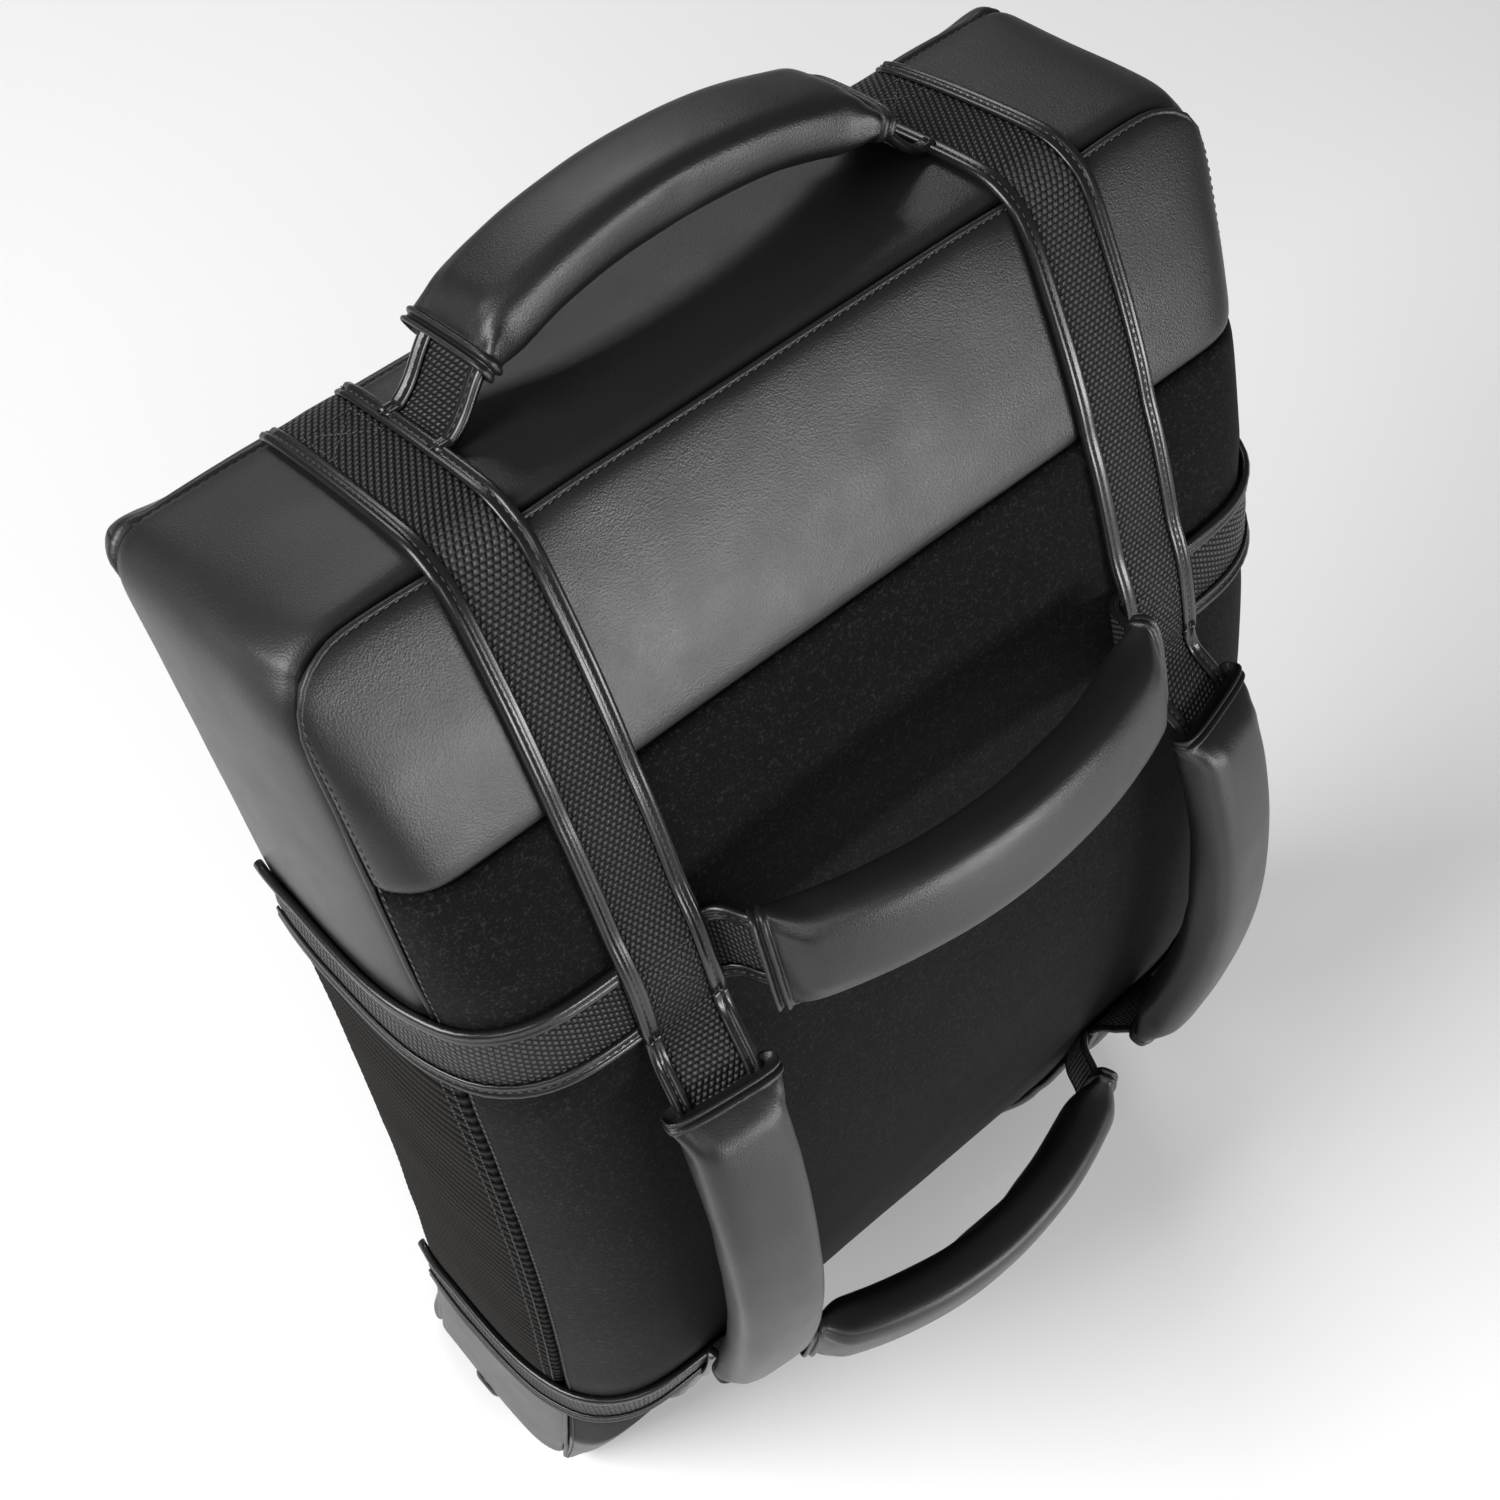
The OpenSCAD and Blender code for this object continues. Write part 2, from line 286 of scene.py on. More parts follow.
def makeNeoprene():
    paint = Paint("neoprene", Sheen_Weight=0.04, Sheen_Roughness=0.5, IOR=1.35,
                  Specular_IOR_Level=0.12)
    speck = paint.noise(900, 2, 0.7)
    soft = paint.noise(380, 3, 0.6)
    broad = paint.noise(9, 2)
    # Painted sheen: the light speckles in the base colour stand in for glints of light on the fabric.
    paintedLight = paint.ramp(speck * 0.65 + soft * 0.35, 0.5, 0.66)
    paint.set("Base Color", paint.mix(paintedLight, grey(0.0028), grey(0.016)))
    paint.set("Roughness", 0.8 + (broad - 0.5) * 0.15)
    paint.bump(speck * 0.6 + soft * 0.6, 0.00025)
    return paint.material


weave = {"wide": 0.0026, "long": 0.0021}    # one bead of the webbing
ribs = {"pitch": 0.0058, "deep": 0.0019, "hem": 0.012}
knit = {"wide": 0.0022, "long": 0.00145}    # one loop of the vent mesh


def makeWebbing():
    paint = Paint("webbing", IOR=1.5, Specular_IOR_Level=0.3)
    u, v = paint.cloth()
    row = (v / weave["long"]).floor()
    shifted = u / weave["wide"] + (row * 0.5).fract()
    drift = (v / weave["long"]).fract() - 0.5
    across = (shifted + drift * 0.35).fract() - 0.5
    bead = (1 - (across * across * 4)) * (1 - (drift * drift * 4) ** 1.5)
    strand = paint.noise(2600, 2)
    gloss = paint.noise(45, 2)
    height = bead.maths("MAXIMUM", 0.0)
    # Painted shade and highlight: the gaps between the beads are coloured near black and the bead tops
    # light, standing in for shade and highlight on the weave.
    paint.set("Base Color", paint.mix(height ** 2, grey(0.0012), grey(0.055)))
    paint.set("Roughness", 0.62 - height * 0.30 + (gloss - 0.5) * 0.2)
    paint.bump(height + strand * 0.1, 0.0010)
    return paint.material


def makeMesh():
    paint = Paint("vent mesh", IOR=1.4, Specular_IOR_Level=0.06)
    u, v = paint.cloth()
    crest = (((v / ribs["pitch"]).fract() - 0.5).maths("ABSOLUTE") * 2) ** 2
    stitchU = (u / knit["wide"]).fract() - 0.5
    stitchV = (v / knit["long"]).fract() - 0.5
    loop = (1 - stitchU * stitchU * 4) * (1 - stitchV * stitchV * 4)
    fuzz = paint.noise(900, 3)
    # Painted shade and highlight: the rib crests are coloured light and the valleys between them near black,
    # standing in for light and shade on the ribs.
    paintedLight = crest * 0.75 + crest * loop * 0.25
    paint.set("Base Color", paint.mix(paintedLight, grey(0.0015, 0.02), grey(0.045, 0.05)))
    paint.set("Roughness", 0.92 - loop * 0.15)
    paint.bump(crest + loop * 0.12 + fuzz * 0.1, 0.0012)
    return paint.material


def makeThread():
    paint = Paint("thread", IOR=1.5)
    twist = paint.noise(3000, 2)
    paint.set("Base Color", paint.mix(twist, grey(0.012), grey(0.08)))
    paint.set("Roughness", 0.42 + twist * 0.2)
    return paint.material


def makeFoam(name, shade, cell):
    paint = Paint(name)
    pores = paint.cells(1 / cell)
    broad = paint.noise(20, 2)
    paint.set("Base Color", paint.mix(pores * 0.7 + broad * 0.3, grey(shade * 0.8, 0.05),
                                      grey(shade * 1.1, 0.05)))
    paint.set("Roughness", 0.85 + (broad - 0.5) * 0.2)
    paint.bump(pores, 0.0006)
    return paint.material


def makeEnamel():
    paint = Paint("eyelet enamel", IOR=1.5, Metallic=0.4)
    worn = paint.noise(220, 3)
    paint.set("Base Color", paint.mix(worn, grey(0.006), grey(0.03)))
    paint.set("Roughness", 0.24 + worn * 0.2)
    paint.bump(worn, 0.0001)
    return paint.material


def makeFloor():
    paint = Paint("floor")
    cloud = paint.noise(2, 2)
    paint.set("Base Color", paint.mix(cloud, grey(0.86), grey(0.9)))
    paint.set("Roughness", 0.6 + cloud * 0.1)
    return paint.material


leather = makeLeather("leather", 0.008, 0.38, 0.0008, 0.15)
sideLeather = makeLeather("side leather", 0.009, 0.42, 0.0008, 0.1)
gripLeather = makeLeather("grip leather", 0.008, 0.37, 0.0007, 0.12)
bindingLeather = makeLeather("binding leather", 0.007, 0.26, 0.0006, 0.08, 0.00003)
neoprene, webbing, ventMesh, thread = makeNeoprene(), makeWebbing(), makeMesh(), makeThread()
softFoam = makeFoam("foam", 0.55, 0.0016)
firmFoam = makeFoam("firm foam", 0.32, 0.0011)
enamel = makeEnamel()


# Making pieces

def makePiece(bm, name, paints, body, nodes=(), levels=0):
    for v in bm.verts:                     # nothing reaches below the floor
        v.co.z = max(v.co.z, 0.0)
    mesh = bpy.data.meshes.new(name)
    bm.to_mesh(mesh)
    bm.free()
    for paint in paints:
        mesh.materials.append(paint)
    mesh.polygons.foreach_set("use_smooth", [True] * len(mesh.polygons))
    piece = bpy.data.objects.new(name, mesh)
    scene.collection.objects.link(piece)
    if levels:
        rounding = piece.modifiers.new("rounding", "SUBSURF")
        rounding.levels = rounding.render_levels = levels
    if body:
        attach(piece, body)
    if nodes:
        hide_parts(*nodes)
    return piece


def faceOut(bm):
    bmesh.ops.recalc_face_normals(bm, faces=bm.faces)
    if bm.calc_volume(signed=True) < 0:
        bmesh.ops.reverse_faces(bm, faces=bm.faces)


def spread(start, end, step):
    count = max(1, round(abs(end - start) / step))
    return [start + (end - start) * i / count for i in range(count + 1)]


def newStrip():
    bm = bmesh.new()
    bm.verts.layers.float.new("along")
    bm.verts.layers.float.new("across")
    return bm


def heightAt(heights, number, x):          # of the cover under a strip, beside its middle
    if not heights:
        return 0.0
    row = heights[number]
    place = (min(max(x / drape["half"], -1), 1) + 1) / 2 * drape["steps"]
    left = min(int(place), drape["steps"] - 1)
    return row[left] + (row[left + 1] - row[left]) * (place - left)


def pushRing(bm, edges):                   # extrudes a closed row of edges
    made = bmesh.ops.extrude_edge_only(bm, edges=edges)["geom"]
    ring = [g for g in made if isinstance(g, bmesh.types.BMVert)]
    known = set(ring)
    edges = [g for g in made if isinstance(g, bmesh.types.BMEdge)
             and g.verts[0] in known and g.verts[1] in known]
    return ring, edges, [g for g in made if isinstance(g, bmesh.types.BMFace)]


def sweep(bm, frames, profile, material=0, caps=True, heights=None):
    # draws a closed profile along a row of frames, whose z is the way ahead and y the way out
    along = bm.verts.layers.float["along"]
    side = bm.verts.layers.float["across"]
    ring = []
    for x, y in profile:
        corner = bm.verts.new(frames[0] @ Vector((x, y + heightAt(heights, 0, x), 0)))
        corner[side] = x
        ring.append(corner)
    edges = [bm.edges.new((ring[i - 1], ring[i])) for i in range(len(ring))]
    faces = [bm.faces.new(ring)] if caps else []
    travelled = 0
    for number, (before, after) in enumerate(zip(frames, frames[1:])):
        travelled += (after.translation - before.translation).length
        ring, edges, added = pushRing(bm, edges)
        faces += added
        bmesh.ops.transform(bm, matrix=after @ before.inverted(), verts=ring)
        for corner in ring:
            corner[along] = travelled
            if heights:
                rise = (heightAt(heights, number + 1, corner[side])
                        - heightAt(heights, number, corner[side]))
                corner.co += after.col[1].to_3d() * rise
    if caps:
        faces += bmesh.ops.contextual_create(bm, geom=edges)["faces"]
    for face in faces:
        face.material_index = material


def layUv(bm):
    along = bm.verts.layers.float["along"]
    side = bm.verts.layers.float["across"]
    uv = bm.loops.layers.uv.new("cloth")
    for face in bm.faces:
        for loop in face.loops:
            loop[uv].uv = (loop.vert[side], loop.vert[along])


def framesAlong(points, normals, sizes=None):
    frames = []
    for i, point in enumerate(points):
        ahead = points[min(i + 1, len(points) - 1)] - points[max(i - 1, 0)]
        ahead.normalize()
        out = (normals[i] - ahead * normals[i].dot(ahead)).normalized()
        side = out.cross(ahead)
        wide, thick = sizes[i] if sizes else (1, 1)
        spot = Matrix((side * wide, out * thick, ahead)).transposed().to_4x4()
        spot.translation = point
        frames.append(spot)
    return frames


def relax(row, rounds, keepEnds=True):
    for _ in range(rounds):
        row = [row[i] if keepEnds and i in (0, len(row) - 1)
               else (row[max(i - 1, 0)] + row[i] * 2 + row[min(i + 1, len(row) - 1)]) / 4
               for i in range(len(row))]
    return row


def resample(points, normals, step):
    spots, ways, rest = [points[0]], [normals[0]], step
    for i in range(len(points) - 1):
        a, b = points[i], points[i + 1]
        span = (b - a).length
        while rest <= span:
            share = rest / span
            spots.append(a.lerp(b, share))
            ways.append(normals[i].lerp(normals[i + 1], share).normalized())
            rest += step
        rest -= span
    return spots, ways


def addStitch(bm, spot, size, material=0):
    # one visible thread, size = (wide, high, long), in a frame whose z is the way of the seam
    made = bmesh.ops.create_icosphere(bm, subdivisions=1, radius=0.5)["verts"]
    bmesh.ops.transform(bm, matrix=spot @ Matrix.Diagonal((*size, 1)), verts=made)
    for face in {f for v in made for f in v.link_faces}:
        face.material_index = material


def stitchRow(bm, points, normals, kind, material=0, aslant=0.0):
    pitch, size = stitches[kind]
    spots, ways = resample(points, normals, pitch)
    for spot in framesAlong(spots, ways):
        addStitch(bm, spot @ turn(aslant, "Y"), size, material)


# Cloth

def inflate(bm, pinned, pressure, limit, name, frames=20):
    # blows the shape up against its pinned seams, then lets no point move further than limit
    for v in bm.verts:                     # nothing reaches below the floor
        v.co.z = max(v.co.z, 0.0)
    mesh = bpy.data.meshes.new(name)
    bm.to_mesh(mesh)
    body = bpy.data.objects.new(name, mesh)
    scene.collection.objects.link(body)
    held = body.vertex_groups.new(name="seams")
    held.add(sorted(pinned), 1.0, "REPLACE")
    cloth = body.modifiers.new("cloth", "CLOTH")
    cloth.settings.use_pressure = True
    cloth.settings.uniform_pressure_force = pressure
    cloth.settings.vertex_group_mass = "seams"
    cloth.settings.effector_weights.gravity = 0
    cloth.settings.quality = 5
    cloth.settings.tension_stiffness = 15
    cloth.settings.compression_stiffness = 15
    cloth.settings.bending_stiffness = 2
    cloth.point_cache.frame_start = 1
    cloth.point_cache.frame_end = frames
    for step in range(1, frames + 1):
        scene.frame_set(step)
    result = body.evaluated_get(bpy.context.evaluated_depsgraph_get()).to_mesh()
    moved = [v.co.copy() for v in result.vertices]
    bpy.data.objects.remove(body)
    bpy.data.meshes.remove(mesh)
    scene.frame_set(1)
    for v, target in zip(bm.verts, moved):
        step = target - v.co
        if step.length > limit:
            step *= limit / step.length
        v.co += step


# The cover

def roundOff(u, v, r):                     # a square corner of side r becomes a quarter circle
    return u * math.sqrt(1 - v * v / (2 * r * r)), v * math.sqrt(1 - u * u / (2 * r * r))


def softMax(a, b, reach):
    h = max(reach - abs(a - b), 0) / reach
    return max(a, b) + h * h * reach / 4


def coverPoint(flat):
    # from a plain box (across, depth, height) to the bent, crowned shield
    depth = flat.y
    x, z = abs(flat.x), abs(flat.z)
    r = pad["frontRound"]
    for wall in (0, 1):
        size, value = (halfWide, x) if wall == 0 else (halfHigh, z)
        u, v = value - (size - r), r - depth
        if u > 0 and v > 0:
            u, v = roundOff(u, v, r)
            depth = r - v
            if wall == 0:
                x = size - r + u
            else:
                z = size - r + u
    share = min(max(depth / pad["edge"], 0), 1)
    corner = pad["corner"][0] * (1 - share) + pad["corner"][1] * share
    u, v = x - (halfWide - corner), z - (halfHigh - corner)
    if u > 0 and v > 0:
        u, v = roundOff(u, v, corner)
        x, z = halfWide - corner + u, halfHigh - corner + v
    rolled = math.sqrt(max(pad["roll"] ** 2 - max(depth - rollC, 0) ** 2, 0))
    x *= (halfWide - pad["roll"] + rolled) / halfWide
    stretch = max(0, (z - yokeZ) / (halfHigh - yokeZ))
    radius = pad["bend"] + depth
    z += (endHeight(radius) - halfHigh) * stretch
    y = pad["bend"] - math.sqrt(radius ** 2 - z ** 2)
    if flat.y > pad["edge"] - tiny:
        over = max(x - (halfWide - pad["roll"]), 0)
        rollR = pad["bend"] + rollC + math.sqrt(pad["roll"] ** 2 - over ** 2)
        rollY = pad["bend"] - math.sqrt(rollR ** 2 - z ** 2)
        y = softMax(rollY, crownY - math.sqrt(crownR ** 2 - z ** 2), pad["soften"])
    return Vector((math.copysign(x, flat.x), y, math.copysign(z, flat.z)))


panels = ["strike_cover", "gusset_upper", "gusset_lower", "side_mesh_left", "side_mesh_right",
          "back_leather_upper", "back_neoprene", "back_leather_lower"]


def panelAt(flat):
    if flat.y < pad["lip"]:
        return 0
    if flat.y > pad["edge"] - tiny:
        return 5 if flat.z > yokeZ else 7 if flat.z < -yokeZ else 6
    if abs(flat.z) > harness["crossZ"]:
        return 1 if flat.z > 0 else 2
    return 3 if flat.x < 0 else 4


def coverCuts():
    drawIn = 0.0048                        # how far the roll has come in at the back seam
    flatBack = (halfWide - pad["roll"]) / (halfWide - drawIn) * halfWide
    seamAngle = math.asin((pad["edge"] - rollC) / pad["roll"])
    steps = 9
    wide = spread(0, flatBack, pad["grid"])
    for i in range(1, steps):
        angle = seamAngle + (math.pi / 2 - seamAngle) * i / steps
        reach = halfWide - pad["roll"] + pad["roll"] * math.cos(angle)
        wide.append(reach / (halfWide - drawIn) * halfWide)
    near = 0.003
    wide += [halfWide - near * 0.5]
    deep = [0.0025, 0.0055, 0.009, pad["lip"], pad["lip"] + near, pad["edge"] - near]
    deep += spread(0.022, pad["edge"] - 0.010, pad["grid"])
    high = [halfHigh - d for d in (near * 0.7, 0.006, 0.011, 0.017, 0.024, 0.031)]
    high += [yokeZ - near, yokeZ, yokeZ + near, harness["crossZ"]]
    high += spread(yokeZ + 0.009, halfHigh - 0.038, pad["grid"])
    high += spread(harness["crossZ"] + 0.008, yokeZ - 0.010, pad["grid"])
    high += spread(0, harness["crossZ"] - 0.008, pad["grid"])
    return wide, deep, high


def cutBox(bm, axis, places, bothSides):
    normal = Vector((axis == 0, axis == 1, axis == 2))
    for place in places:
        for side in ((1, -1) if bothSides and place > 0 else (1,)):
            bmesh.ops.bisect_plane(bm, geom=bm.verts[:] + bm.edges[:] + bm.faces[:], dist=1e-6,
                                   plane_co=normal * place * side, plane_no=normal)


def plainBox(low, high):
    bm = bmesh.new()
    bmesh.ops.create_cube(bm, size=1)
    size = Matrix.Diagonal((*(high - low), 1))
    bmesh.ops.transform(bm, verts=bm.verts, matrix=Matrix.Translation((low + high) / 2) @ size)
    return bm


def makeCoverShape():
    bm = plainBox(Vector((-halfWide, 0, -halfHigh)), Vector((halfWide, pad["edge"], halfHigh)))
    wide, deep, high = coverCuts()
    cutBox(bm, 0, wide, True)
    cutBox(bm, 1, deep, False)
    cutBox(bm, 2, high, True)
    panel = bm.faces.layers.int.new("panel")
    along = bm.verts.layers.float.new("along")
    side = bm.verts.layers.float.new("across")
    for face in bm.faces:
        face[panel] = panelAt(face.calc_center_median())
    for v in bm.verts:
        v[along], v[side] = v.co.z, v.co.x + v.co.y
        v.co = stand @ coverPoint(v.co)
    faceOut(bm)
    return bm


cover = {"pressure": 4.0, "swell": 0.0075, "crease": 0.0018, "fold": 0.005, "wrinkle": 0.0006,
         "round": 0.055}


def seamVerts(bm):
    panel = bm.faces.layers.int["panel"]
    return {v.index for v in bm.verts if len({f[panel] for f in v.link_faces}) > 1}


def easeCorners(bm):
    # the padding rounds the long back edges, most where the straps pull on them
    home = stand.inverted()
    near, pulled, belted = [], [], []
    for v in bm.verts:
        spot = home @ v.co
        under = abs(abs(spot.z) - harness["crossZ"]) < harness["wide"] * 0.7
        if under and abs(spot.x) > harness["strapX"] and spot.y < endY - 0.004:
            belted.append(v)
        if v.co.z < nearFloor or math.hypot(spot.y - seamY, abs(spot.z) - seamZ) > cover["round"]:
            continue
        near.append(v)
        if abs(abs(spot.x) - harness["strapX"]) < harness["wide"] * 0.8:
            pulled.append(v)
    for verts, rounds in ((near, 6), (pulled, 8), (near, 2)):
        for _ in range(rounds):
            bmesh.ops.smooth_vert(bm, verts=verts, factor=0.5, use_axis_x=False, use_axis_y=True,
                                  use_axis_z=True)
    for _ in range(10):                    # the belts press the sides flat
        bmesh.ops.smooth_vert(bm, verts=belted, factor=0.5, use_axis_x=True, use_axis_y=True,
                              use_axis_z=False)


def puffCover(bm):
    bm.verts.index_update()
    bm.normal_update()
    seams = seamVerts(bm)
    inflate(bm, seams, cover["pressure"], cover["swell"], "coverCloth")
    easeCorners(bm)
    bm.normal_update()
    for v in bm.verts:
        if v.co.z < nearFloor:
            v.co.z = max(v.co.z, 0.0)
            continue
        ripple = noise.noise(v.co * 21) * 0.6 + noise.noise(v.co * 47 + Vector((3, 1, 8))) * 0.4
        depth = cover["crease"] if v.index in seams else 0
        v.co += v.normal * (ripple * cover["wrinkle"] - depth)
    bm.normal_update()


def cutPanel(bm, index, fold):
    # one panel, with its edges turned under
    part = bm.copy()
    panel = part.faces.layers.int["panel"]
    inward = part.verts.layers.float_vector["inward"]
    bmesh.ops.delete(part, geom=[f for f in part.faces if f[panel] != index], context="FACES")
    rim = [e for e in part.edges if e.is_boundary]
    made = bmesh.ops.extrude_edge_only(part, edges=rim)["geom"]
    for v in made:
        if isinstance(v, bmesh.types.BMVert):
            v.co += v[inward] * fold
            v.co.z = max(v.co.z, 0.0)
    return part


def ribMesh(part):
    along = part.verts.layers.float["along"]
    upright = [e for e in part.edges if abs(e.verts[0][along] - e.verts[1][along]) > 0.002]
    bmesh.ops.subdivide_edges(part, edges=upright, cuts=9, use_grid_fill=True)
    part.normal_update()
    deep = part.verts.layers.float["across"]
    for v in part.verts:
        inset = min(1, max(0, (pad["edge"] - abs(abs(v[deep]) - halfWide)) / ribs["hem"]))
        ridge = 0.5 - abs(math.sin(v[along] / ribs["pitch"] * math.pi))
        v.co += v.normal * ribs["deep"] * ridge * inset


def makeCover():
    bm = makeCoverShape()
    puffCover(bm)
    inward = bm.verts.layers.float_vector.new("inward")
    for v in bm.verts:
        v[inward] = -v.normal
    tree = BVHTree.FromBMesh(bm)
    looks = {
        "strike_cover": (leather, "leather", ["strike_cover"]),
        "gusset_upper": (sideLeather, "side_leather",
                         ["top_gusset", "side_leather_upper_left", "side_leather_upper_right"]),
        "gusset_lower": (sideLeather, "side_leather",
                         ["bottom_gusset", "side_leather_lower_left", "side_leather_lower_right"]),
        "side_mesh_left": (ventMesh, "vent_mesh", ["side_mesh_left"]),
        "side_mesh_right": (ventMesh, "vent_mesh", ["side_mesh_right"]),
        "back_leather_upper": (leather, "leather", ["back_leather_upper"]),
        "back_neoprene": (neoprene, "neoprene", ["back_neoprene"]),
        "back_leather_lower": (leather, "leather", ["back_leather_lower"]),
    }
    for index, name in enumerate(panels):
        paint, slot, nodes = looks[name]
        part = cutPanel(bm, index, cover["fold"])
        if "mesh" in name:
            ribMesh(part)
        layUv(part)
        piece = makePiece(part, name + "_cloth", [paint], "pad", nodes, 1)
    bm.free()
    print("cover made")
    return tree


def makeFoamLayer(name, low, high, paint, node):
    # one layer of the filling, inside the cover by a little all round
    inset = 0.968
    bm = plainBox(Vector((-halfWide, low, -halfHigh)), Vector((halfWide, high, halfHigh)))
    cutBox(bm, 0, spread(0, halfWide, 0.02)[:-1], True)
    cutBox(bm, 2, spread(0, halfHigh, 0.02)[:-1], True)
    for v in bm.verts:
        spot = coverPoint(v.co)
        spot.x *= inset
        spot.z *= inset
        if v.co.y > pad["edge"] - tiny:
            spot.y += 0.006
        v.co = stand @ spot
    faceOut(bm)
    edges = [e for e in bm.edges if e.calc_face_angle(0) > 0.9]
    bmesh.ops.bevel(bm, geom=edges, offset=0.003, segments=2, profile=0.5, affect="EDGES",
                    material=-1, offset_type="OFFSET")
    makePiece(bm, name, [paint], "pad", [node])


# The harness

# how far to each side, and in how many steps, a strip follows the cover, and by how much at most
drape = {"half": 0.018, "steps": 8, "most": 0.005}
web = [(-0.0152, 0.0004), (-0.0152, 0.0016), (-0.009, 0.0021), (0, 0.0023), (0.009, 0.0021),
       (0.0152, 0.0016), (0.0152, 0.0004), (0, 0.0001)]
# A bound edge: a bead round the webbing's edge, a stitched groove, and the flap on the webbing
binding = [(0.0182, 0.0020), (0.0177, 0.0033), (0.0164, 0.0039), (0.0152, 0.0034),
           (0.0146, 0.0028), (0.0137, 0.0031), (0.0124, 0.0033), (0.0116, 0.0030),
           (0.0113, 0.0021), (0.0142, 0.0018), (0.0150, 0.0008), (0.0164, 0.0001),
           (0.0177, 0.0007)]
groove = (0.0146, 0.0030)
webTop = 0.0023
# the spacing of each kind of stitch, and how wide, high and long its thread shows
stitches = {
    "bound": (0.0034, (0.0006, 0.0006, 0.0024)),
    "box": (0.0025, (0.0006, 0.0005, 0.0019)),
    "back": (0.0036, (0.0007, 0.0006, 0.0026)),
    "front": (0.0036, (0.0005, 0.0004, 0.0024)),
    "mesh": (0.0022, (0.0010, 0.0005, 0.0013)),
}
boxHalf = 0.0095                           # half the side of a sewn square


def mirrored(profile):
    return [(-x, y) for x, y in reversed(profile)]


def layStrip(frames, heights=None):
    # webbing, its two bound edges and their stitches, as material 0, 1 and 2
    bm = newStrip()
    sweep(bm, frames, web, heights=heights)
    for profile in (binding, mirrored(binding)):
        sweep(bm, frames, profile, 1, heights=heights)
    for side in (-1, 1):
        x, y = groove[0] * side, groove[1]
        spots = [f @ Vector((x, y + heightAt(heights, i, x), 0)) for i, f in enumerate(frames)]
        stitchRow(bm, spots, [f.col[1].to_3d() for f in frames], "bound", 2)
    faceOut(bm)
    layUv(bm)
    return bm


def split(bm, name, nodes):
    # the webbing as one piece, and the bound edges with their thread as another
    kinds = (("", "webbing", False), ("_binding", "binding_leather", True))
    for (suffix, slot, bound), node in zip(kinds, nodes):
        part = bm.copy()
        unwanted = [f for f in part.faces if (f.material_index == 0) == bound]
        bmesh.ops.delete(part, geom=unwanted, context="FACES")
        makePiece(part, name + suffix, [webbing, bindingLeather, thread], "pad", [node])
    bm.free()


def onCover(tree, point, out):
    hit, normal, _, _ = tree.ray_cast(point + out * 0.05, -out, 0.12)
    return (hit, normal) if hit else (point, out)


def restOnCover(tree, rows):
    # rows are (point, way out) in the shield's frame; gives a taut path on the puffed cover,
    # its normals, and how high the cover lies under it from edge to edge
    points, normals = [], []
    for point, out in rows:
        spot, way = stand @ point, (stand.to_3x3() @ out).normalized()
        hit, normal = onCover(tree, spot, way)
        points.append(hit)
        normals.append((normal + way).normalized())
    points, normals = relax(points, 4), [n.normalized() for n in relax(normals, 6, False)]
    rows = []
    for spot in framesAlong(points, normals):
        out, side = spot.col[1].to_3d(), spot.col[0].to_3d()
        row = []
        for i in range(drape["steps"] + 1):
            under = spot.translation + side * drape["half"] * (2 * i / drape["steps"] - 1)
            hit, _, _, _ = tree.ray_cast(under + out * 0.02, -out, 0.04)
            rise = (hit - under).dot(out) if hit else 0.0
            row.append(min(max(rise, -drape["most"]), drape["most"]))
        rows.append(Vector(row))
    return points, normals, relax(rows, 3, False)


def levelled(heights, last):               # the strip lies flat across where another is sewn on
    for i in range(6):
        number = len(heights) - 1 - i if last else i
        row = heights[number]
        mean = sum(row) / len(row)
        heights[number] = row.lerp(Vector([mean] * len(row)), 1 - i / 6)
    return heights[-1 if last else 0][0]


def strapRows(x, upper):
    rows = []
    if upper:
        flow = Vector((0, math.sin(lean), math.cos(lean)))
        way = Vector((0, -math.cos(lean), math.sin(lean)))
        first = pad["lip"] - pad["edge"] / 2 + 0.0005
        last = (seamY - endY) / way.y - 0.006
        for t in spread(first, last, 0.004):
            rows.append((Vector((x, endY, halfHigh)) + way * t, flow))
        steps = 5
        back = math.asin(seamZ / crownR)
        for i in range(1, steps):
            share = i / steps
            out = flow.lerp(Vector((0, -math.cos(back), math.sin(back))), share).normalized()
            rows.append((Vector((x, seamY, seamZ)), out))
    top = seamZ - (0.006 if upper else 0.0)
    low = harness["crossZ"] - harness["wide"] / 2
    for z in spread(top, low, 0.004):
        angle = math.asin(z / crownR)
        out = Vector((0, -math.cos(angle), math.sin(angle)))
        rows.append((Vector((x, crownY, 0)) + out * crownR, out))
    if not upper:
        rows = [(Vector((p.x, p.y, -p.z)), Vector((o.x, o.y, -o.z))) for p, o in reversed(rows)]
    return rows


def hopOver(points, normals, crossing):
    lifted = []
    for point, normal in zip(points, normals):
        gap = (point - crossing).length / harness["hopReach"]
        rise = harness["hop"] * (1 - min(gap, 1) ** 3)
        lifted.append(point + normal * (harness["lift"] + rise))
    return relax(lifted, 2)


def beltRows(side, up):
    z = up * harness["crossZ"]
    rows = []

    def at(x, depth, out):
        y = pad["bend"] - math.sqrt((pad["bend"] + depth) ** 2 - z ** 2)
        rows.append((Vector((side * x, y, z)), Vector((side * out[0], -out[1], 0)).normalized()))

    for depth in spread(pad["lip"] + 0.0005, rollC, 0.005):
        at(halfWide, depth, (1, 0))
    for angle in spread(0, math.pi / 2, 0.09)[1:]:
        out = (math.cos(angle), math.sin(angle))
        at(halfWide - pad["roll"] + pad["roll"] * out[0], rollC + pad["roll"] * out[1], out)
    for x in spread(halfWide - pad["roll"], harness["strapX"] + 0.018 - harness["tuck"], 0.005)[1:]:
        at(x, rollC + pad["roll"], (0, 1))
    return rows


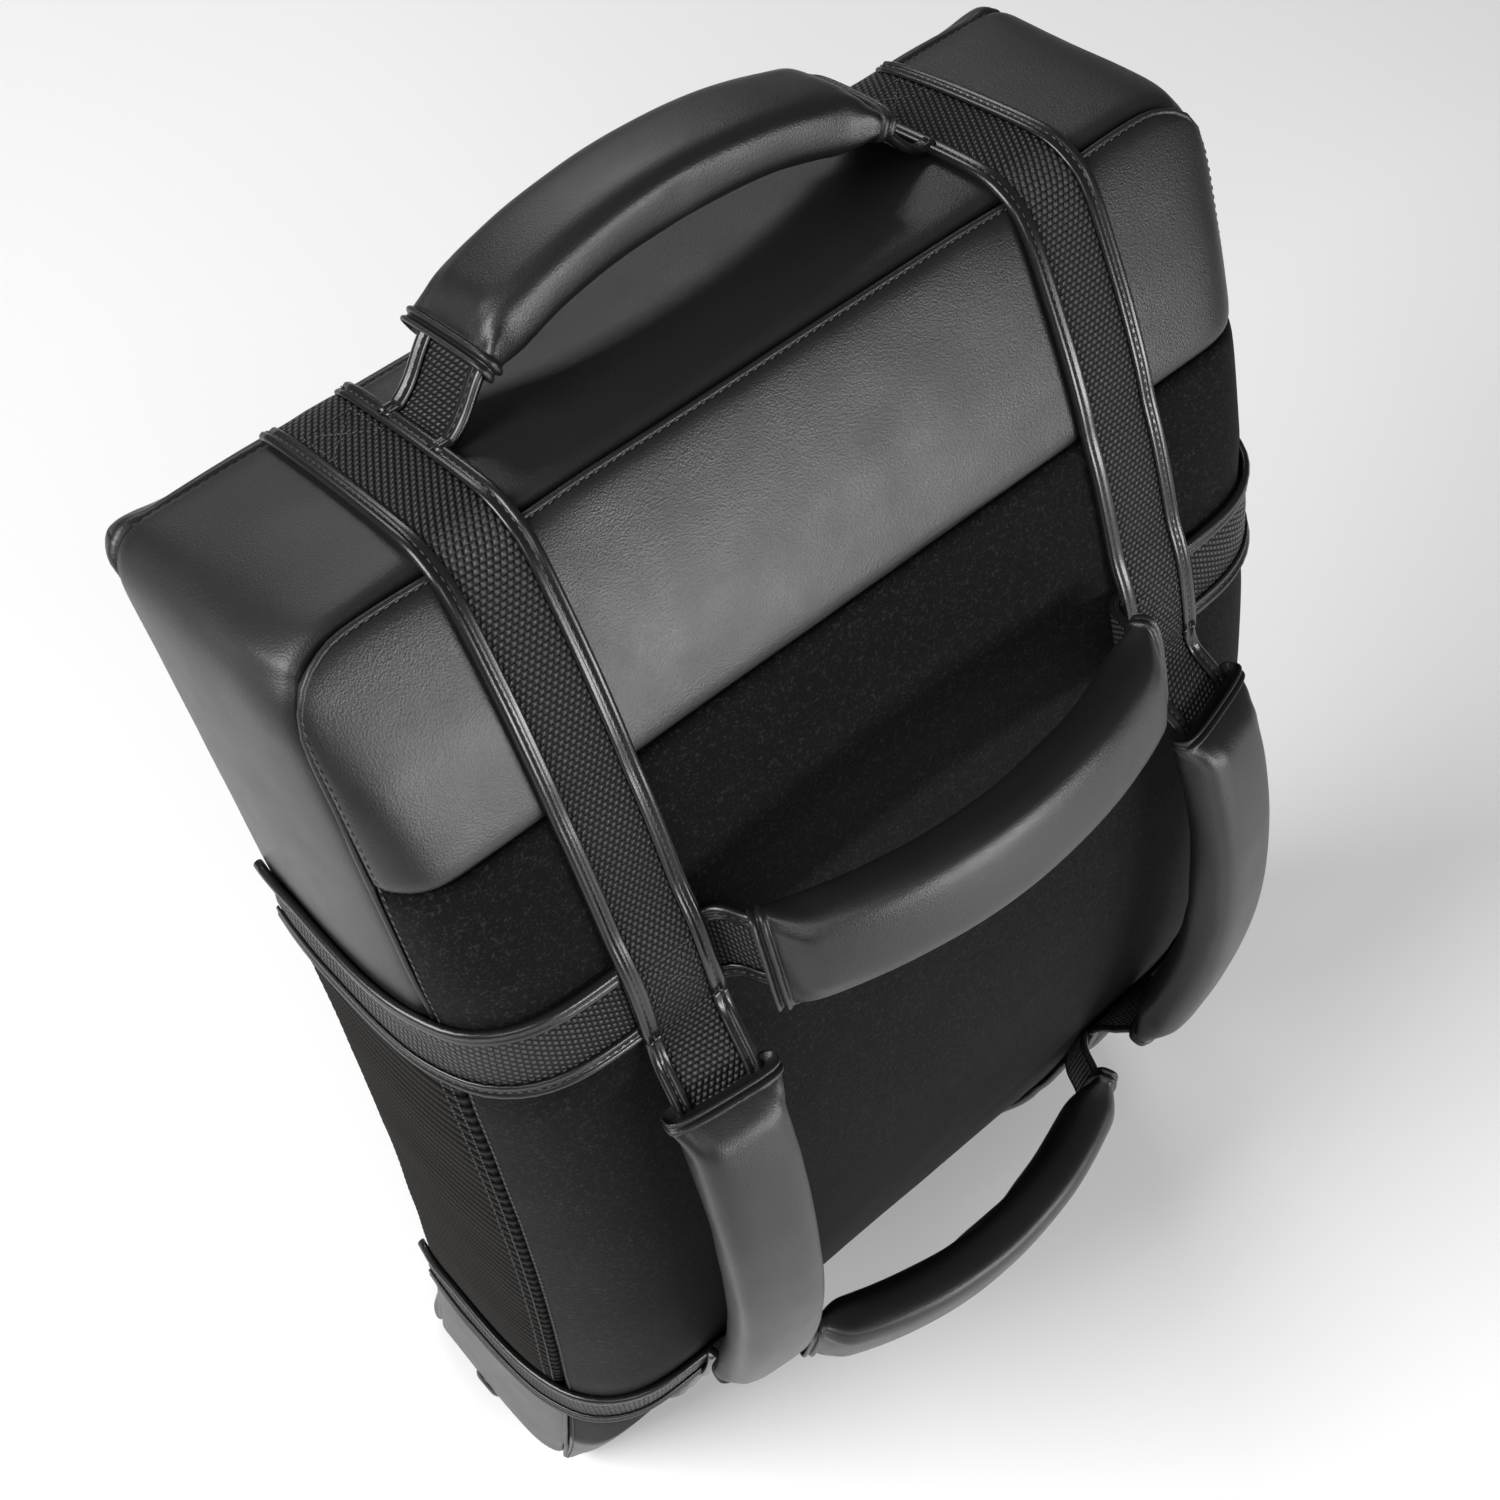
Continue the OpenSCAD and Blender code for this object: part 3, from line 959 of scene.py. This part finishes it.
def boxStitch(bm, frames, heights, at, half, material):
    # the sewn square with a cross that holds two layers of webbing together, round frame number at
    corners = [(-half, -half), (half, -half), (half, half), (-half, half)]
    lines = [(corners[i], corners[(i + 1) % 4]) for i in range(4)]
    lines += [(corners[0], corners[2]), (corners[1], corners[3])]
    step = (frames[at + 1].translation - frames[at].translation).length
    for a, b in lines:
        points, normals = [], []
        for i in range(9):
            x, z = a[0] + (b[0] - a[0]) * i / 8, a[1] + (b[1] - a[1]) * i / 8
            where = min(max(at + z / step, 0), len(frames) - 1.001)
            near, share = int(where), where % 1
            ends = [frames[k] @ Vector((x, webTop + heightAt(heights, k, x), 0))
                    for k in (near, near + 1)]
            points.append(ends[0].lerp(ends[1], share))
            normals.append(frames[near].col[1].to_3d())
        stitchRow(bm, points, normals, "box", material)


def nearest(frames, target):
    return min(range(len(frames)), key=lambda i: (frames[i].translation - target).length)


def makeStraps(tree):
    ends = {}
    for side, hand in ((-1, "left"), (1, "right")):
        x = side * harness["strapX"]
        for upper, level in ((True, "upper"), (False, "lower")):
            points, normals, heights = restOnCover(tree, strapRows(x, upper))
            z = harness["crossZ"] * (1 if upper else -1)
            y = crownY - math.sqrt(crownR ** 2 - z ** 2)
            crossing = stand @ Vector((x, y, z))
            points = hopOver(points, normals, crossing)
            frames = framesAlong(points, normals)
            joined = (frames[-1] if upper else frames[0]).copy()
            joined.translation += joined.col[1].to_3d() * levelled(heights, upper)
            ends[hand, level] = joined
            bm = layStrip(frames, heights)
            boxStitch(bm, frames, heights, nearest(frames, crossing), boxHalf, 2)
            if upper:
                boxStitch(bm, frames, heights, 6, boxHalf, 2)
            name = f"strap_{level}_{hand}"
            split(bm, name, (name, f"strap_binding_{hand}"))
        for up, level in ((1, "upper"), (-1, "lower")):
            points, normals, heights = restOnCover(tree, beltRows(side, up))
            for i in range(5):                 # the front seam holds the end down
                heights[i] = Vector([min(h, 0.0020 + 0.0006 * i) for h in heights[i]])
            points = [p + n * harness["lift"] for p, n in zip(points, normals)]
            bm = layStrip(framesAlong(points, normals), heights)
            name = f"belt_{level}_{hand}"
            split(bm, name, (name, f"belt_binding_{hand}"))
    print("harness made")
    return ends


# The handles. Each frame has x from root to root and z away from the shield; its sizes are the
# half distance between roots, the half length of the grip, and the height at middle and hems.

shapes = {
    "carry": {"root": 0.092, "half": 0.080, "high": 0.042, "hem": 0.026, "tail": 0.014},
    "flat": {"root": 0.099, "half": 0.090, "high": 0.048, "hem": 0.026, "tail": 0.008},
    "upright": {"root": 0.133, "half": 0.110, "high": 0.046, "hem": 0.026, "tail": 0.004},
}
grip = {"wide": 0.042, "thick": 0.026, "sides": 36, "power": 3.6, "pinch": 0.014, "swell": 0.0016,
        "pressure": 5.0, "crease": 0.0004}


def handlePlaces():
    flatY = crownY - math.sqrt(crownR ** 2 - harness["crossZ"] ** 2)
    flatAngle = math.asin(harness["crossZ"] / crownR)
    uprightY = crownY - math.sqrt(crownR ** 2 - shapes["upright"]["root"] ** 2)
    places = {"top": ("carry", stand @ Matrix.Translation((0, endY, halfHigh)) @ turn(-lean, "X"))}
    for name, up in (("middle", 1), ("lower", -1)):
        places[name] = ("flat", stand @ Matrix.Translation((0, flatY, up * harness["crossZ"]))
                        @ turn(math.pi / 2 - up * flatAngle, "X"))
    for name, side in (("left", -1), ("right", 1)):
        reach = joints[name + "_handle_swing"]["range_deg"]
        upright = Matrix.Translation((side * harness["strapX"], uprightY, 0))
        places[name] = ("upright", stand @ upright @ turn(-math.pi / 2, "Y")
                        @ turn(math.pi / 2, "X") @ turn(-math.radians(sum(reach) / 2), "X"))
    return places


def bow(shape):                            # radius and half angle of a grip's arc
    rise = shape["high"] - shape["hem"]
    radius = (shape["half"] ** 2 + rise ** 2) / (2 * rise)
    return radius, math.asin(shape["half"] / radius)


def bowFrames(shape, sizeAt, count):
    radius, angle = bow(shape)
    points, normals, sizes = [], [], []
    for i in range(count + 1):
        t = math.sin((i / count - 0.5) * math.pi * 0.94) / math.sin(0.47 * math.pi)
        a = t * angle
        out = Vector((math.sin(a), 0, math.cos(a)))
        points.append(Vector((0, 0, shape["high"] - radius)) + out * radius)
        normals.append(out)
        sizes.append(sizeAt(min(1 - abs(t), 1) * angle * radius))
    return framesAlong(points, normals, sizes)


def gripProfile(inset=0.0):
    profile = []
    for i in range(grip["sides"]):
        a = i / grip["sides"] * math.tau
        c, s = math.cos(a), math.sin(a)
        x = math.copysign(abs(c) ** (2 / grip["power"]), c) * (grip["wide"] / 2 - inset)
        y = math.copysign(abs(s) ** (2 / grip["power"]), s) * (grip["thick"] / 2 - inset)
        profile.append((x, y))
    return profile


def sleeveSize(distance):                  # the sleeve pinches flat and flares at its hems
    full = math.sin(min(distance / grip["pinch"], 1) * math.pi / 2)
    return 1.18 - 0.18 * full, 0.42 + 0.58 * full


# how far ahead each ring of the hem lies, and its width and thickness beside the sleeve's
hemSteps = [(0.0004, 1.02, 1.30), (0.0010, 1.03, 1.50), (0.0010, 1.02, 1.35), (0.0004, 0.99, 1.0),
            (0.0005, 0.985, 0.95), (0.0004, 1.0, 1.05), (0.0010, 1.015, 1.40), (0.0011, 1.01, 1.30),
            (0.0004, 0.985, 0.95), (-0.0040, 0.96, 0.72)]


def hemEnd(bm, edges, spot, way):
    # turns the open end into a doubled hem: two ridges, then the inside
    wide, thick = 1.0, 1.0
    travelled = 0
    for ahead, w, t in hemSteps:
        ring, edges, _ = pushRing(bm, edges)
        grow = Matrix.Diagonal((w / wide, t / thick, 1, 1))
        centre = spot.copy()
        centre.translation = spot.translation + spot.col[2].to_3d() * travelled * way
        move = Matrix.Translation(spot.col[2].to_3d() * ahead * way)
        bmesh.ops.transform(bm, matrix=move @ centre @ grow @ centre.inverted(), verts=ring)
        travelled += ahead
        wide, thick = w, t
    bmesh.ops.contextual_create(bm, geom=edges)


def makeSleeve(kind):
    shape = shapes[kind]
    bm = newStrip()
    frames = bowFrames(shape, sleeveSize, 46)
    sweep(bm, frames, gripProfile(0.0012))
    faceOut(bm)
    caps = [f for f in bm.faces if len(f.verts) > 4]
    bm.verts.index_update()
    bm.normal_update()
    pinned = {v.index for f in caps for v in f.verts}
    inflate(bm, pinned, grip["pressure"], grip["swell"], kind + "Cloth")
    bm.normal_update()
    for v in bm.verts:
        gap = shape["half"] - abs(v.co.x)
        folds = math.exp(-max(gap, 0) / 0.014)
        crease = math.sin(v.co.y * 900 + v.co.z * 260 + noise.noise(v.co * 60) * 5)
        ripple = noise.noise(v.co * 42)
        v.co += v.normal * (crease * folds * grip["crease"] * (v.index not in pinned)
                            + ripple * grip["crease"])
    faces = [(f, frames[0] if f.calc_center_median().x < 0 else frames[-1]) for f in caps]
    for face, spot in faces:
        edges = list(face.edges)
        plain = Matrix((spot.col[0].to_3d().normalized(), spot.col[1].to_3d().normalized(),
                        spot.col[2].to_3d().normalized())).transposed().to_4x4()
        plain.translation = spot.translation
        way = -1 if face.calc_center_median().x < 0 else 1
        bmesh.ops.delete(bm, geom=[face], context="FACES_ONLY")
        hemEnd(bm, edges, plain, way)
    faceOut(bm)
    return bm


def foamSize(distance):
    full = min(max(distance - 0.006, 0) / grip["pinch"], 1)
    full = full * full * (3 - 2 * full)
    return 0.84, 0.2 + 0.62 * full


def webPath(tree, shape, end, startFrame, place):
    # from the flat tail, up in an S and into the hem; end is -1 or 1 along x
    radius, angle = bow(shape)
    goal = Vector((end * (shape["half"] - 0.010), 0, shape["hem"] + 0.0022))
    back = Vector((end * math.cos(angle), 0, -math.sin(angle)))
    if startFrame is None:
        out = place.col[2].to_3d()
        root = place @ Vector((end * shape["root"], 0, 0))
        level = max((onCover(tree, root + place.col[1].to_3d() * y, out)[0] - root).dot(out)
                    for y in (-0.015, 0, 0.015)) + 0.0008
        first = Vector((end * (shape["root"] + shape["tail"]), 0, level))
        begin = Vector((end * max(shape["root"] + 0.002, 0.1), 0, level))
        pull = Vector((-end, 0, 0.5))
        reach = 0.015
    else:
        inverse = place.inverted()
        first = inverse @ startFrame.translation
        begin = first.copy()
        ahead = inverse.to_3x3() @ startFrame.col[2].to_3d()
        pull = ahead * (-1 if ahead.x * end > 0 else 1)
        reach = 0.016
    curve = geometry.interpolate_bezier(begin, begin + pull.normalized() * reach,
                                        goal + back * 0.019, goal, 22)
    if startFrame is None:
        return [first + (begin - first) * i / 3 for i in range(3)] + list(curve)
    return list(curve)


def makeHandles(tree, strapEnds):
    sleeves = {kind: makeSleeve(kind) for kind in shapes}
    for name, (kind, place) in handlePlaces().items():
        shape = shapes[kind]
        body = name + "_handle"
        bm = sleeves[kind].copy()
        bmesh.ops.transform(bm, matrix=place, verts=bm.verts)
        piece = makePiece(bm, name + "_grip_sleeve", [gripLeather], body,
                          [name + "_grip_cover"], 1)
        core = newStrip()
        sweep(core, bowFrames(shape, foamSize, 20), gripProfile())
        bmesh.ops.transform(core, matrix=place, verts=core.verts)
        faceOut(core)
        makePiece(core, name + "_grip_padding", [softFoam], body,
                            [name + "_grip_foam"])
        for end in (-1, 1):
            startFrame = None
            if kind == "upright":
                startFrame = strapEnds[name, "upper" if end > 0 else "lower"]
            path = webPath(tree, shape, end, startFrame, place)
            normals = []
            for i in range(len(path)):
                ahead = (path[min(i + 1, len(path) - 1)] - path[max(i - 1, 0)]).normalized()
                normals.append(ahead.cross(Vector((0, 1, 0))) * (-end))
            normals = [n if n.length > 0 else Vector((0, 0, 1)) for n in normals]
            if normals[0].z < 0:
                normals = [-n for n in normals]
            if startFrame:
                sewn = place.inverted().to_3x3() @ startFrame.col[1].to_3d()
                for i in range(8):
                    normals[i] = sewn.lerp(normals[i].normalized(), i / 8)
            frames = [place @ f for f in framesAlong(path, normals)]
            bm = layStrip(frames)
            if kind == "upright":
                level = "upper" if end > 0 else "lower"
            else:
                level = "right" if end > 0 else "left"
            nodes = [name + "_handle_web", name + "_handle_roots"]
            piece = makePiece(bm, f"{name}_handle_webbing_{level}",
                              [webbing, bindingLeather, thread], None, nodes)
            hinge = place @ Vector((0, 0, 0.002))
            free = place @ Vector((0, 0, 0.022))
            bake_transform(piece, "pad", body, hinge, free)
    for bm in sleeves.values():
        bm.free()
    print("handles made")


# Seams

def outline(inset, count=60):
    # flat points round the back, inset from its seam, starting at the lower left
    x, z, d = halfWide - inset, halfHigh - inset, pad["edge"]
    corners = [(-x, -z), (-x, z), (x, z), (x, -z), (-x, -z)]
    flats = []
    for a, b in zip(corners, corners[1:]):
        for i in range(count):
            flats.append(Vector((a[0] + (b[0] - a[0]) * i / count, d,
                                 a[1] + (b[1] - a[1]) * i / count)))
    return flats + [flats[0]]


def seamPath(tree, flats, sink):
    points, normals = [], []
    for flat in flats:
        spot, normal, _, _ = tree.find_nearest(stand @ coverPoint(flat))
        points.append(spot - normal * sink)
        normals.append(normal)
    return relax(points, 1), relax(normals, 2, False)


def rowFrom(flats):                        # puts the lower half of the outline in one row
    cut = max(range(1, len(flats)), key=lambda i: (flats[i] - flats[i - 1]).length)
    return flats[cut:] + flats[:cut] if (flats[cut] - flats[cut - 1]).length > 0.05 else flats


def circle(radius, sides):
    return [(radius * math.cos(i / sides * math.tau), radius * math.sin(i / sides * math.tau))
            for i in range(sides)]


def makeSeams(tree):
    welt = newStrip()
    flats = outline(0.0)
    for up in (-1, 1):
        own = [f for f in flats if f.z * up > harness["crossZ"]]
        points, normals = seamPath(tree, rowFrom(own), 0.0001)
        sweep(welt, framesAlong(points, normals), circle(0.0012, 8))
    faceOut(welt)
    makePiece(welt, "back_seam_welt", [sideLeather], "pad")
    rows = bmesh.new()
    points, normals = seamPath(tree, outline(0.0017, 90), -0.0001)
    keep = [i for i, p in enumerate(points) if p.z > 0.006]
    points, normals = [points[i] for i in keep], [normals[i] for i in keep]
    stitchRow(rows, points, normals, "back", aslant=0.25)
    reach = halfWide - 0.012
    flats = [Vector((reach * (i / 45 - 1), pad["lip"] + 0.003, halfHigh)) for i in range(91)]
    points, normals = seamPath(tree, flats, 0.0)
    stitchRow(rows, points, normals, "front")
    for side in (-1, 1):
        for inset in (0.004, 0.009):
            z = harness["crossZ"] - 0.016
            flats = [Vector((side * halfWide, pad["edge"] - inset, -z + 2 * z * i / 60))
                     for i in range(61)]
            points, normals = seamPath(tree, flats, 0.0)
            stitchRow(rows, points, normals, "mesh", aslant=0.6)
    makePiece(rows, "cover_stitches", [thread], "pad")
    print("seams sewn")


eyelet = {"outer": 0.009, "inner": 0.004, "high": 0.020, "rise": 0.0018}


def makeEyelets(tree):
    for side, hand in ((-1, "left"), (1, "right")):
        flat = Vector((side * halfWide, pad["edge"] / 2, eyelet["high"] - halfHigh))
        spot = stand @ coverPoint(flat)
        hit, normal = onCover(tree, spot, Vector((side, 0, 0)))
        inner, outer, rise = eyelet["inner"], eyelet["outer"], eyelet["rise"]
        bm = bmesh.new()
        section = [(inner, -0.004), (inner, 0.0006), (inner + 0.0008, rise),
                   (outer - 0.0025, rise), (outer, 0.0003), (outer, -0.0008)]
        corners = [bm.verts.new((x, 0, z)) for x, z in section]
        edges = [bm.edges.new(pair) for pair in zip(corners, corners[1:])]
        bmesh.ops.spin(bm, geom=corners + edges, axis=(0, 0, 1), cent=(0, 0, 0), angle=math.tau,
                       steps=40, use_merge=True)
        bmesh.ops.remove_doubles(bm, verts=bm.verts, dist=1e-6)
        plug = bmesh.ops.create_circle(bm, segments=24, radius=inner + 0.0003,
                                       cap_ends=True)["verts"]
        bmesh.ops.translate(bm, vec=(0, 0, -0.0036), verts=plug)
        faceOut(bm)
        place = normal.to_track_quat("Z", "Y").to_matrix().to_4x4()
        place.translation = hit
        bmesh.ops.transform(bm, matrix=place, verts=bm.verts)
        makePiece(bm, f"vent_eyelet_{hand}_ring", [enamel], "pad",
                  [f"vent_eyelet_{hand}"], 1)


def makeGround():
    bm = bmesh.new()
    bmesh.ops.create_grid(bm, x_segments=8, y_segments=8, size=6)
    ground = bpy.data.meshes.new("floor")
    bm.to_mesh(ground)
    bm.free()
    ground.materials.append(makeFloor())
    floor = bpy.data.objects.new("floor", ground)
    scene.collection.objects.link(floor)


makeCamera()
makeLights()
makeGround()
coverTree = makeCover()
makeFoamLayer("strike_foam_layer", 0.006, 0.036, firmFoam, "strike_foam")
makeFoamLayer("core_foam_layer", 0.036, 0.102, softFoam, "core_foam")
makeFoamLayer("back_foam_layer", 0.102, pad["edge"], firmFoam, "back_foam")
strapEnds = makeStraps(coverTree)
makeHandles(coverTree, strapEnds)
makeSeams(coverTree)
makeEyelets(coverTree)
for node in frame["nodes"].values():
    if not node.hide_render:
        print("still CAD:", node.name)
